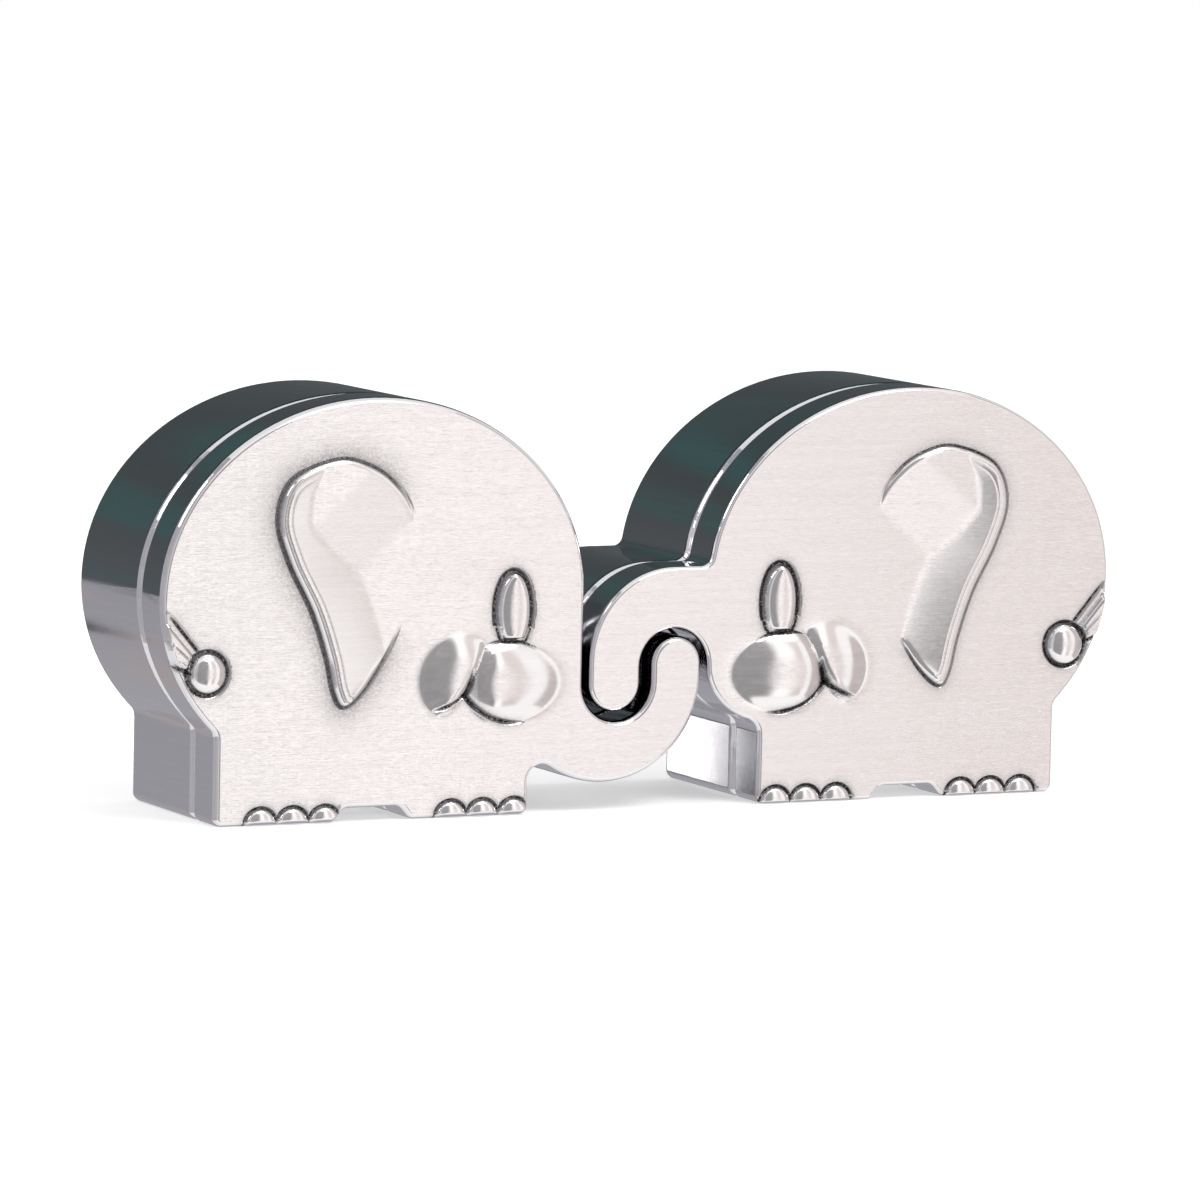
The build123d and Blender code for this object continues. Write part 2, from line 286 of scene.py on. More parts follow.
@dataclass(frozen=True)
class Ear:
    """The big ear: a ridge along its rear edge, from which it sinks towards the eye."""

    width: float = 16.5
    length: float = 27.2
    tip_height: float = 12.9
    rear_reach: float = 11.9
    rise: float = 0.85
    ridge_width: float = 1.3
    slope_run: float = 5.5
    slope_power: float = 1.15
    top_run: float = 1.0
    top_heights: tuple[float, float] = (35.5, 39.5)
    brow_rise: float = 0.45
    brow_foot: tuple[float, float] = (4.2, 33.2)
    brow_lean: tuple[float, float] = (-0.66, 0.75)
    brow_run: float = 7.8
    edge: float = 0.6
    line_rise: float = 0.35
    line_fade: tuple[float, float] = (22.2, 17.0)
    crease_gaps: tuple[float, float] = (0.62, 1.3)
    crease_width: float = 0.3
    crease_depth: float = 0.04
    crease_tone: float = 0.4
    crease_levels: tuple[float, float] = (0.5, 0.9)
    groove: Groove = Groove(width=0.38, tone=0.78, halo=1.1, halo_tone=0.42)
    curve_spans: int = 12
    rear_points: int = 8
    spine_points: int = 6
    spine_top_shares: tuple = ((0.02, 0.90), (0.10, 1.05))
    outline_shares: tuple = (
        (0.49, 0.00), (0.42, 0.06), (0.365, 0.20), (0.255, 0.39), (0.085, 0.59), (0.00, 0.77),
        (0.10, 0.925), (0.41, 1.00), (0.63, 0.98), (0.82, 0.91), (0.965, 0.785), (1.00, 0.575),
        (0.90, 0.35), (0.78, 0.20), (0.63, 0.065),
    )

    def place(self, share: tuple[float, float]) -> tuple[float, float]:
        """The spot at a share of the ear's width from its rear edge and length from its tip."""
        return (share[0] * self.width - self.rear_reach, self.tip_height + share[1] * self.length)

    def level(self, spots: np.ndarray, loop: np.ndarray) -> np.ndarray:
        """Height of the ear inside its edge.

        Args:
            spots: Points, one a row.
            loop: The ear's outline.

        Returns:
            The height of each point.
        """
        low_spine = loop[: (self.spine_points - 1) * self.curve_spans + 1]
        spine = np.vstack([low_spine, [self.place(share) for share in self.spine_top_shares]])
        gap, _ = nearest(spots, spine)
        run = self.slope_run + self.top_run * ramp(spots[:, 1], *self.top_heights)
        sunk = np.clip((gap - self.ridge_width) / run, 0, 1)
        lean = (spots - self.brow_foot) @ np.array(self.brow_lean) / self.brow_run
        ridge = self.rise * (1 - sunk) ** self.slope_power
        return np.maximum(ridge, self.brow_rise * np.clip(lean, 0, 1))

    def dress(self, surface: Surface) -> None:
        """Raises the ear on the face.

        Args:
            surface: The face.
        """
        loop = smooth_loop([self.place(share) for share in self.outline_shares], self.curve_spans)
        inside = depth_inside(surface.spots, loop)
        rear = loop[: (self.rear_points - 1) * self.curve_spans + 1]
        rear_gap, _ = nearest(surface.spots, rear)
        level = self.level(surface.spots, loop)
        front_line = ramp(surface.spots[:, 1], *self.line_fade)
        self.groove.outline(surface, inside, np.maximum(ramp(level, 0.0, self.line_rise), front_line))
        surface.stand(level * crown(inside, self.edge), (inside > 0) & (level > 0))
        high = ramp(level, *(share * self.rise for share in self.crease_levels))
        for gap in self.crease_gaps:
            crease = bell(rear_gap - gap, self.crease_width / 2) * high * (inside > 0)
            surface.engrave(self.crease_depth * crease, self.crease_tone * crease)
            surface.watch(np.where(inside > 0, rear_gap - gap, np.inf))


@dataclass(frozen=True)
class Eye:
    """The eye: an upright bead with a flat base, in its own groove."""

    reach: float = 16.7
    height: float = 23.0
    base_height: float = 19.8
    half_width: float = 1.95
    half_height: float = 4.1
    rise: float = 0.8
    rim_share: float = 0.3
    edge: float = 0.4
    points: int = 40
    groove: Groove = Groove(width=0.72, depth=0.4, halo=0.35)

    def dress(self, surface: Surface) -> None:
        """Raises the eye on the face.

        Args:
            surface: The face.
        """
        low = math.asin((self.base_height - self.height) / self.half_height)
        turn = np.linspace(low, math.pi - low, self.points)
        loop = np.column_stack(
            [self.reach + self.half_width * np.cos(turn), self.height + self.half_height * np.sin(turn)]
        )
        inside = depth_inside(surface.spots, loop)
        over = np.clip((surface.spots[:, 1] - self.height) / self.half_height, -1, 1)
        half = np.maximum(self.half_width * np.sqrt(1 - over**2), self.edge)
        off = np.clip((surface.spots[:, 0] - self.reach) / half, -1, 1)
        round_over = self.rim_share + (1 - self.rim_share) * np.sqrt(1 - off**2)
        self.groove.outline(surface, inside, 1.0)
        surface.stand(self.rise * round_over * crown(inside, self.edge), inside > 0)


@dataclass(frozen=True)
class Swelling:
    """A smooth oval swelling whose top lies nearer to one of its sides."""

    reach: float
    height: float
    half_length: float
    half_width: float
    tilt: float
    rise: float
    top_shift: float
    powers: tuple[float, float]
    foot: float = 0.16
    foot_end: float = 1.4
    least_out: float = 0.01

    def dress(self, surface: Surface) -> None:
        """Raises the swelling on the face, merged with what already stands there.

        Args:
            surface: The face.
        """
        turn = math.radians(self.tilt)
        off = surface.spots - (self.reach, self.height)
        side = off[:, 0] * math.cos(turn) + off[:, 1] * math.sin(turn) - self.top_shift
        along = off[:, 1] * math.cos(turn) - off[:, 0] * math.sin(turn)
        half = np.where(side < 0, self.half_width + self.top_shift, self.half_width - self.top_shift)
        out = np.hypot(along / self.half_length, side / half)
        lean = side / half / np.maximum(out, self.least_out)
        power = 0.5 * (self.powers[0] * (1 - lean) + self.powers[1] * (1 + lean))
        cap = self.rise * (1 - out**power)
        soft = 0.5 * (cap + np.sqrt(cap**2 + self.foot**2)) * ramp(out, self.foot_end, 1.0)
        surface.stand(np.maximum(surface.rise, soft), out < self.foot_end)


@dataclass(frozen=True)
class Muzzle:
    """The round cheek and the lobe of the mouth, with the mouth's lines and the line under the eye."""

    cheek: Swelling = Swelling(
        reach=16.8, height=14.9, half_length=4.6, half_width=5.8,
        tilt=0.0, rise=1.25, top_shift=-1.5, powers=(3.2, 2.0),
    )
    lobe: Swelling = Swelling(
        reach=9.0, height=16.4, half_length=4.9, half_width=3.1,
        tilt=-32.0, rise=0.95, top_shift=1.3, powers=(2.0, 3.0),
    )
    arm: tuple = ((11.55, 16.7), (11.4, 15.2), (10.8, 13.8))
    smile: tuple = ((10.8, 13.8), (13.6, 11.3), (18.3, 10.5))
    lip_line: tuple = ((10.8, 13.8), (9.0, 12.6), (7.0, 12.0))
    brow: tuple = ((13.2, 19.05), (16.3, 19.6), (19.6, 18.6))
    arm_taper: tuple[float, float] = (0.55, 0)
    smile_taper: tuple[float, float] = (0, 0.3)
    lip_taper: tuple[float, float] = (0, 0.35)
    brow_taper: tuple[float, float] = (0.2, 0.2)
    arm_groove: Groove = Groove(width=0.9, depth=0.5, halo=0.3, halo_tone=0.45)
    groove: Groove = Groove(width=0.8, depth=0.4, halo=0.25)
    brow_groove: Groove = Groove(width=0.42, depth=0.25, halo=0.25, halo_tone=0.2)

    def dress(self, surface: Surface) -> None:
        """Raises the swellings and cuts the lines.

        Args:
            surface: The face.
        """
        self.lobe.dress(surface)
        self.cheek.dress(surface)
        self.arm_groove.follow(surface, arc_through(*self.arm), self.arm_taper)
        self.groove.follow(surface, arc_through(*self.smile), self.smile_taper)
        self.groove.follow(surface, arc_through(*self.lip_line), self.lip_taper)
        self.brow_groove.follow(surface, arc_through(*self.brow), self.brow_taper)


@dataclass(frozen=True)
class Tail:
    """The tail: a ball in a ringed groove, with a creased stub that joins it to the rump."""

    reach: float = 20.1
    height: float = 17.05
    radius: float = 2.15
    rise: float = 1.0
    stub_rise: float = 0.6
    stub_edge: float = 0.6
    ring: Groove = Groove(width=0.62, depth=0.4, halo=0.35, halo_tone=0.25)
    line: Groove = Groove(halo=0.4, halo_tone=0.25)
    crease: Groove = Groove(width=0.3, depth=0.08, tone=0.45, halo_tone=0.0)
    stub_shares: tuple = ((-0.84, 0.98), (-2.35, 2.70), (-2.40, 1.50), (-2.05, 0.60), (-1.05, 0.15))
    line_shares: tuple = (((-0.56, 1.19), (-2.30, 3.25)), ((-0.98, 0.02), (-2.10, 0.50)))
    crease_shares: tuple = ((-1.02, 0.62), (-2.30, 1.80))
    line_taper: tuple[float, float] = (0, 0.35)
    crease_taper: tuple[float, float] = (0, 0.5)

    def place(self, share: tuple[float, float]) -> tuple[float, float]:
        """The spot at shares of the ball's radius from its centre."""
        return (share[0] * self.radius - self.reach, share[1] * self.radius + self.height)

    def route(self, shares: tuple) -> np.ndarray:
        """The spots at several shares, one a row."""
        return np.array([self.place(share) for share in shares])

    def dress(self, surface: Surface) -> None:
        """Raises the tail and cuts its lines.

        Args:
            surface: The face.
        """
        for shares in self.line_shares:
            self.line.follow(surface, self.route(shares), self.line_taper)
        wedge = depth_inside(surface.spots, self.route(self.stub_shares))
        surface.rise = surface.rise + self.stub_rise * crown(wedge, self.stub_edge)
        surface.watch(wedge)
        self.crease.follow(surface, self.route(self.crease_shares), self.crease_taper)
        inside = self.radius - np.hypot(*(surface.spots - self.place((0, 0))).T)
        self.ring.outline(surface, inside, 1.0)
        off = np.clip(1 - inside / self.radius, 0, 1)
        surface.stand(self.rise * np.sqrt(1 - off**2), inside > 0)


@dataclass(frozen=True)
class Toes:
    """Three toenails on each foot, cut off at the floor."""

    feet: tuple[float, float]
    radius: float = 1.75
    spacing: float = 3.85
    per_foot: int = 3
    rise: float = 0.5
    floor_edge: float = 0.3
    groove: Groove = Groove(halo=0.35, halo_tone=0.25)

    def dress(self, surface: Surface) -> None:
        """Raises the toes on the face.

        Args:
            surface: The face.
        """
        inside = np.full(len(surface.spots), -np.inf)
        for foot in self.feet:
            for index in range(self.per_foot):
                reach = foot + (index - (self.per_foot - 1) / 2) * self.spacing
                inside = np.maximum(inside, self.radius - np.hypot(*(surface.spots - (reach, 0)).T))
        self.groove.outline(surface, inside, 1.0)
        off = np.clip(1 - inside / self.radius, 0, 1)
        dome = self.rise * np.sqrt(1 - off**2)
        lip = self.floor_edge * (1 - crown(surface.spots[:, 1], self.floor_edge))
        surface.stand(dome - lip, inside > 0)


@dataclass(frozen=True)
class EdgeRound:
    """The rounding between a casting's walls and its front: an arc that stops short of the front."""

    radius: float = 1.6
    sweep: float = 60.0
    steps: int = 7
    land: float = 0.08

    @property
    def inset(self) -> float:
        """How far inside the silhouette the arc ends."""
        return self.radius * (1 - math.cos(math.radians(self.sweep)))

    @property
    def depth(self) -> float:
        """How far behind the front the arc starts."""
        return self.radius * math.sin(math.radians(self.sweep))

    def gaps(self) -> list[float]:
        """Distances inside the silhouette of the arc's rings, and of the flat land past them."""
        turns = [math.radians(self.sweep) * step / self.steps for step in range(1, self.steps + 1)]
        return [self.radius * (1 - math.cos(turn)) for turn in turns] + [self.inset + self.land]

    def drop(self, gap: np.ndarray) -> np.ndarray:
        """How far behind the front a point at some distance inside the silhouette lies."""
        return self.depth - self.radius * crown(np.minimum(gap, self.inset), self.radius)


@dataclass(frozen=True)
class Face:
    """The whole relief of one lid: what stands on its face, and its rounded edge."""

    parts: tuple
    edge: EdgeRound

    def shape(self, spots: np.ndarray, edge_gap: np.ndarray) -> Surface:
        """Works out the face's surface.

        Args:
            spots: Reach and height of each point.
            edge_gap: Distance of each point inside the silhouette, up to the rounding's end.

        Returns:
            The shaped surface.
        """
        surface = Surface.flat(spots)
        for part in self.parts:
            part.dress(surface)
        inward = np.clip(edge_gap / self.edge.inset, 0, 1)
        surface.rise = surface.rise * inward - self.edge.drop(edge_gap)
        return surface


TOOTH_FACE = Face((Ear(), Eye(), Muzzle(), Tail(), Toes(feet=(-9.6, 13.35))), EdgeRound(radius=1.1))
CURL_FACE = Face(
    (
        Ear(
            groove=Groove(width=0.34, tone=0.8, halo=0.6, halo_tone=0.26),
            crease_tone=0.15,
            line_fade=(19.0, 16.0),
        ),
        Eye(),
        Muzzle(),
        Tail(radius=2.25),
        Toes(feet=(-10.9, 12.85)),
    ),
    EdgeRound(radius=0.75),
)


def joined(edges: list[bmesh.types.BMEdge]) -> list[list[bmesh.types.BMEdge]]:
    """Groups edges that touch each other, in an order that is the same each run.

    Args:
        edges: The edges.

    Returns:
        The groups.
    """
    left, groups = dict.fromkeys(edges), []
    while left:
        group, waiting = [], [left.popitem()[0]]
        while waiting:
            edge = waiting.pop()
            group.append(edge)
            for other in (other for corner in edge.verts for other in corner.link_edges):
                if other in left:
                    del left[other]
                    waiting.append(other)
        groups.append(group)
    return groups


def breadth(edges: list[bmesh.types.BMEdge]) -> float:
    """How far some edges reach along X."""
    reaches = [edge.verts[0].co.x for edge in edges]
    return max(reaches) - min(reaches)


def open_edges(data: bpy.types.Mesh) -> int:
    """How many edges of a mesh don't have exactly two faces.

    Args:
        data: The mesh.

    Returns:
        Their number, 0 for a closed mesh.
    """
    mesh = bmesh.new()
    mesh.from_mesh(data)
    count = sum(len(edge.link_faces) != 2 for edge in mesh.edges)
    mesh.free()
    return count


@dataclass(kw_only=True)
class Casting:
    """One casting of a box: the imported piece's own walls, with its front edge rounded afresh."""

    name: str
    body: str
    slot: str
    edge: EdgeRound = EdgeRound()
    rim_step: float = 0.2
    weld_gap: float = 0.0005
    merge_gap: float = 0.03
    smooth_angle: float = 32.0

    def __post_init__(self) -> None:
        """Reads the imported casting's place, once."""
        self.low, self.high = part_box(self.name)
        self.front = self.low.y / MM

    def cut_open(self) -> bmesh.types.BMesh:
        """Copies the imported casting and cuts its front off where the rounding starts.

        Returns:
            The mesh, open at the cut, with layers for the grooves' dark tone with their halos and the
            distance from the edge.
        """
        mesh = bmesh.new()
        mesh.from_mesh(bpy.data.objects[self.name].data)
        mesh.verts.layers.float.new("patina_and_halo")
        mesh.verts.layers.float.new("edge_gap")
        bmesh.ops.remove_doubles(mesh, verts=mesh.verts, dist=self.weld_gap * MM)
        everything = mesh.verts[:] + mesh.edges[:] + mesh.faces[:]
        plane = (0, (self.front + self.edge.depth) * MM, 0)
        bmesh.ops.bisect_plane(
            mesh, geom=everything, plane_co=plane, plane_no=(0, -1, 0), clear_outer=True
        )
        rims = [edge for edge in mesh.edges if edge.is_boundary]
        corners = dict.fromkeys(corner for edge in rims for corner in edge.verts)
        bmesh.ops.remove_doubles(mesh, verts=list(corners), dist=self.merge_gap * MM)
        for edge in [edge for edge in mesh.edges if edge.is_boundary]:
            cuts = int(edge.calc_length() / (self.rim_step * MM))
            if cuts:
                bmesh.ops.subdivide_edges(mesh, edges=[edge], cuts=cuts)
        return mesh

    def lay_rings(self, mesh: bmesh.types.BMesh, rim: list[bmesh.types.BMEdge]) -> bmesh.types.BMFace:
        """Fills the rim and insets it in rings for the rounding, noting each ring's distance.

        Args:
            mesh: The open mesh.
            rim: The edges of its outer rim.

        Returns:
            The flat face inside the last ring.
        """
        layer = mesh.verts.layers.float["edge_gap"]
        front = bmesh.ops.holes_fill(mesh, edges=rim, sides=0)["faces"][0]
        front.normal_update()
        if front.normal.y > 0:
            front.normal_flip()
        before = 0.0
        for gap in self.edge.gaps():
            thickness = (gap - before) * MM
            bmesh.ops.inset_region(
                mesh, faces=[front], thickness=thickness, use_even_offset=False, use_boundary=True
            )
            before = gap
            for corner in front.verts:
                corner[layer] = gap
        return front

    def finish(self, mesh: bmesh.types.BMesh) -> bpy.types.Object:
        """Turns the mesh into the casting's object.

        Args:
            mesh: The closed mesh; it is used up.

        Returns:
            The object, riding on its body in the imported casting's place.
        """
        layer = mesh.verts.layers.float["edge_gap"]
        mesh.normal_update()
        for edge in mesh.edges:
            if edge.verts[0][layer] == 0 and edge.verts[1][layer] == 0:
                edge.smooth = edge.calc_face_angle(0) < math.radians(self.smooth_angle)
        for face in mesh.faces:
            face.smooth = True
        mesh.verts.layers.float.remove(layer)
        piece = new_piece(self.name + "_casting", mesh)
        weighted = piece.modifiers.new("even_shading", "WEIGHTED_NORMAL")
        weighted.keep_sharp = True
        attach(piece, self.body)
        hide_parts(self.name)
        faces = len(piece.data.polygons)
        log.info("%s: %d faces, open edges %d", piece.name, faces, open_edges(piece.data))
        return piece


@dataclass(kw_only=True)
class ReliefLid(Casting):
    """One box's front, with a full relief face. The first cut is a share of a cell from the end."""

    facing: Facing
    face: Face
    recess_tone: float
    dome_half_width: float = 25.6
    cheek_rise: float = 1.3
    cell: float = 0.42
    first_cut: float = 0.63
    cut_snap: float = 0.002

    def __post_init__(self) -> None:
        """Works out the face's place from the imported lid's."""
        super().__post_init__()
        self.edge = self.face.edge
        self.front += self.cheek_rise
        sign = self.facing.value
        back_end = self.low.x if sign > 0 else self.high.x
        self.centre_x = back_end / MM + sign * self.dome_half_width

    def spots(self, places: np.ndarray) -> np.ndarray:
        """Reach and height of places given in metres."""
        reach = (places[:, 0] / MM - self.centre_x) * self.facing.value
        return np.column_stack([reach, places[:, 2] / MM])

    def lay_cells(self, mesh: bmesh.types.BMesh, front: bmesh.types.BMFace) -> None:
        """Cuts the front into a grid of cells.

        Args:
            mesh: The lid's mesh.
            front: Its flat front face.
        """
        region = [front, *front.edges, *front.verts]
        for axis in (0, 2):
            direction = Vector((0, 0, 0))
            direction[axis] = 1
            count = int((self.high[axis] - self.low[axis]) / (self.cell * MM))
            for index in range(count):
                place = Vector(self.low)
                place[axis] += (index + self.first_cut) * self.cell * MM
                region = bmesh.ops.bisect_plane(
                    mesh, geom=region, dist=self.cut_snap * MM, plane_co=place, plane_no=direction
                )["geom"]

    def refine(self, mesh: bmesh.types.BMesh, zone: Zone) -> None:
        """Halves the cells of the face near fine lines.

        Args:
            mesh: The lid's mesh.
            zone: How near the lines.
        """
        layer = mesh.verts.layers.float["edge_gap"]
        cells = [
            face for face in mesh.faces if min(corner[layer] for corner in face.verts) > self.edge.inset
        ]
        centres = np.array([face.calc_center_median() for face in cells])
        gaps = np.full(len(cells), self.edge.inset)
        near = self.face.shape(self.spots(centres), gaps).line_gap < zone.value
        fine = [face for face, wanted in zip(cells, near) if wanted]
        edges = dict.fromkeys(edge for face in fine for edge in face.edges)
        bmesh.ops.subdivide_edges(mesh, edges=list(edges), cuts=1, use_grid_fill=True)

    def build(self) -> bpy.types.Object:
        """Makes the lid's object.

        Returns:
            The object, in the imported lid's place.
        """
        mesh = self.cut_open()
        front = self.lay_rings(mesh, [edge for edge in mesh.edges if edge.is_boundary])
        self.lay_cells(mesh, front)
        for zone in Zone:
            mesh.normal_update()
            self.refine(mesh, zone)
        tone, layer = (mesh.verts.layers.float[key] for key in ("patina_and_halo", "edge_gap"))
        corners = [corner for corner in mesh.verts if corner[layer] > 0]
        places = np.array([corner.co for corner in corners])
        gaps = np.array([corner[layer] for corner in corners])
        surface = self.face.shape(self.spots(places), gaps)
        for corner, rise, dark in zip(corners, surface.rise, surface.patina_and_halo):
            corner.co.y = (self.front - rise) * MM
            corner[tone] = float(dark) * self.recess_tone
        return self.finish(mesh)


@dataclass(kw_only=True)
class CaseBase(Casting):
    """One box's deep rear half, with its chamber and magnet pockets open at the seam."""

    def build(self) -> bpy.types.Object:
        """Makes the base's object.

        Returns:
            The object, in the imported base's place.
        """
        mesh = self.cut_open()
        rims = joined([edge for edge in mesh.edges if edge.is_boundary])
        rims.sort(key=breadth, reverse=True)
        front = self.lay_rings(mesh, rims[0])
        layer = mesh.verts.layers.float["edge_gap"]
        seam = list(front.edges)
        bmesh.ops.delete(mesh, geom=[front], context="FACES_ONLY")
        for rim in rims[1:]:
            made = bmesh.ops.extrude_edge_only(mesh, edges=rim)["geom"]
            for corner in (item for item in made if isinstance(item, bmesh.types.BMVert)):
                corner.co.y = self.front * MM
            seam += [item for item in made if isinstance(item, bmesh.types.BMEdge)]
        for corner in mesh.verts:
            if corner[layer] > 0:
                corner.co.y = (self.front + float(self.edge.drop(corner[layer]))) * MM
        loose = [edge for edge in seam if edge.is_boundary]
        bmesh.ops.triangle_fill(mesh, use_beauty=True, edges=loose)
        bmesh.ops.recalc_face_normals(mesh, faces=mesh.faces)
        return self.finish(mesh)


class Tree:
    """A node tree with short ways to add and join nodes.

    The Mix node repeats its sockets for each kind of value, so its colour sockets go by number.
    """

    MIX_INPUTS = (0, 6, 7)
    MIX_RESULT = 2

    def __init__(self, tree: bpy.types.NodeTree) -> None:
        """Wraps a node tree."""
        self.tree = tree

    def node(self, kind: str, settings: dict | None = None, **inputs: object) -> bpy.types.Node:
        """Adds a node.

        Args:
            kind: The node's type name after ShaderNode.
            settings: Its properties.
            **inputs: Sockets by name, with spaces as underscores: a value or an output socket.

        Returns:
            The node.
        """
        made = self.tree.nodes.new("ShaderNode" + kind)
        for key, value in (settings or {}).items():
            setattr(made, key, value)
        for key, value in inputs.items():
            self.feed(made.inputs[key.replace("_", " ")], value)
        return made

    def feed(self, socket: bpy.types.NodeSocket, value: object) -> None:
        """Joins an output to a socket, or sets the socket's value.

        Args:
            socket: The input socket.
            value: An output socket or a plain value.
        """
        if isinstance(value, bpy.types.NodeSocket):
            self.tree.links.new(value, socket)
        else:
            socket.default_value = value

    def math(self, operation: str, *values: object) -> bpy.types.NodeSocket:
        """Adds a Math node.

        Args:
            operation: The node's operation.
            *values: Its inputs: output sockets or numbers.

        Returns:
            Its output.
        """
        made = self.node("Math", {"operation": operation})
        for socket, value in zip(made.inputs, values):
            self.feed(socket, value)
        return made.outputs[0]

    def span(self, value: object, source: tuple, target: tuple = (0.0, 1.0)) -> bpy.types.NodeSocket:
        """Maps a value from one range to another, clamped.

        Args:
            value: The value.
            source: Start and end of its own range.
            target: What they become.

        Returns:
            The mapped value.
        """
        made = self.node("MapRange", {"clamp": True}, Value=value)
        for key, entry in zip(("From Min", "From Max", "To Min", "To Max"), (*source, *target)):
            self.feed(made.inputs[key], entry)
        return made.outputs["Result"]

    def stretch(self, place: object, scale: object) -> bpy.types.NodeSocket:
        """Multiplies a place by a scale on each axis.

        Args:
            place: The place.
            scale: Its factors on the three axes.

        Returns:
            The product.
        """
        made = self.node("VectorMath", {"operation": "MULTIPLY"})
        self.feed(made.inputs[0], place)
        self.feed(made.inputs[1], scale)
        return made.outputs[0]

    def noise(self, place: object, scale: object, **inputs: float) -> bpy.types.NodeSocket:
        """Adds a noise at a place, with its other sockets by name, and returns its output."""
        return self.node("TexNoise", Vector=place, Scale=scale, **inputs).outputs[0]

    def place(self) -> bpy.types.NodeSocket:
        """The shaded point in the object's own space."""
        return self.node("TexCoord").outputs["Object"]

    def blend(self, share: object, first: object, second: object) -> bpy.types.NodeSocket:
        """Mixes two colours.

        Args:
            share: How much of the second.
            first: The first colour.
            second: The second colour.

        Returns:
            The mixed colour.
        """
        made = self.node("Mix", {"data_type": "RGBA"})
        for index, value in zip(self.MIX_INPUTS, (share, first, second)):
            self.feed(made.inputs[index], value)
        return made.outputs[self.MIX_RESULT]


def new_group(name: str, inputs: dict[str, float], outputs: list[str]) -> tuple[Tree, object, object]:
    """Starts a shader node group with number sockets.

    Args:
        name: The group's name.
        inputs: Each input's name and first value.
        outputs: Names of the outputs.

    Returns:
        The tree, its input node and its output node.
    """
    group = bpy.data.node_groups.new(name, "ShaderNodeTree")
    for key, value in inputs.items():
        socket = group.interface.new_socket(key, in_out="INPUT", socket_type="NodeSocketFloat")
        socket.default_value = value
    for key in outputs:
        group.interface.new_socket(key, in_out="OUTPUT", socket_type="NodeSocketFloat")
    tree = Tree(group)
    return tree, group.nodes.new("NodeGroupInput"), group.nodes.new("NodeGroupOutput")


def new_material(name: str) -> tuple[bpy.types.Material, Tree, bpy.types.Node]:
    """Starts a material.

    Args:
        name: The material's name.

    Returns:
        The material, its tree and its Principled shader.
    """
    material = bpy.data.materials.new(name)
    material.use_nodes = True
    return material, Tree(material.node_tree), material.node_tree.nodes["Principled BSDF"]


def new_piece(name: str, mesh: bmesh.types.BMesh) -> bpy.types.Object:
    """Turns a mesh into an object of the scene.

    Args:
        name: The object's name.
        mesh: The mesh; it is used up.

    Returns:
        The object.
    """
    data = bpy.data.meshes.new(name)
    mesh.to_mesh(data)
    mesh.free()
    piece = bpy.data.objects.new(name, data)
    bpy.context.scene.collection.objects.link(piece)
    return piece


def brushed_grain() -> bpy.types.NodeTree:
    """Group: fine horizontal polishing lines on the upright faces.

    Returns:
        The group, whose outputs are the lines' height and tone.
    """
    tree, given, put = new_group("brushed_grain", {"Length": 7.0, "Spacing": 0.16}, ["Height", "Tone"])
    along, across = (tree.math("DIVIDE", 1 / MM, given.outputs[key]) for key in ("Length", "Spacing"))
    scale = tree.node("CombineXYZ", X=along, Y=along, Z=across).outputs[0]
    lines = tree.stretch(tree.place(), scale)
    broad_scale, broad_share = 0.21, 0.5
    fine = tree.noise(lines, 1.0, Detail=4.0, Roughness=0.65)
    broad = tree.noise(lines, broad_scale, Detail=2.0)
    rest = tree.math("MULTIPLY", fine, 1 - broad_share)
    both = tree.math("MULTIPLY_ADD", broad, broad_share, rest)
    tree.feed(put.inputs["Height"], fine)
    tree.feed(put.inputs["Tone"], both)
    return tree.tree


def smears_and_sheen() -> bpy.types.NodeTree:
    """Group: faint cloudy smears left by polishing and handling, also used for the liner's patches of
    painted sheen.

    Returns:
        The group, whose output is the share of a smear or sheen patch.
    """
    tree, given, put = new_group("smears_and_sheen", {"Size": 9.0, "Grain": 0.5}, ["Smear"])
    large, little = (tree.math("DIVIDE", 1 / MM, given.outputs[key]) for key in ("Size", "Grain"))
    small_share, levels = 0.25, (0.35, 0.65)
    cloud = tree.noise(tree.place(), large, Detail=3.0, Roughness=0.55, Distortion=0.6)
    small = tree.noise(tree.place(), little, Detail=2.0)
    rest = tree.math("MULTIPLY", cloud, 1 - small_share)
    both = tree.math("MULTIPLY_ADD", small, small_share, rest)
    tree.feed(put.inputs["Smear"], tree.span(both, levels))
    return tree.tree


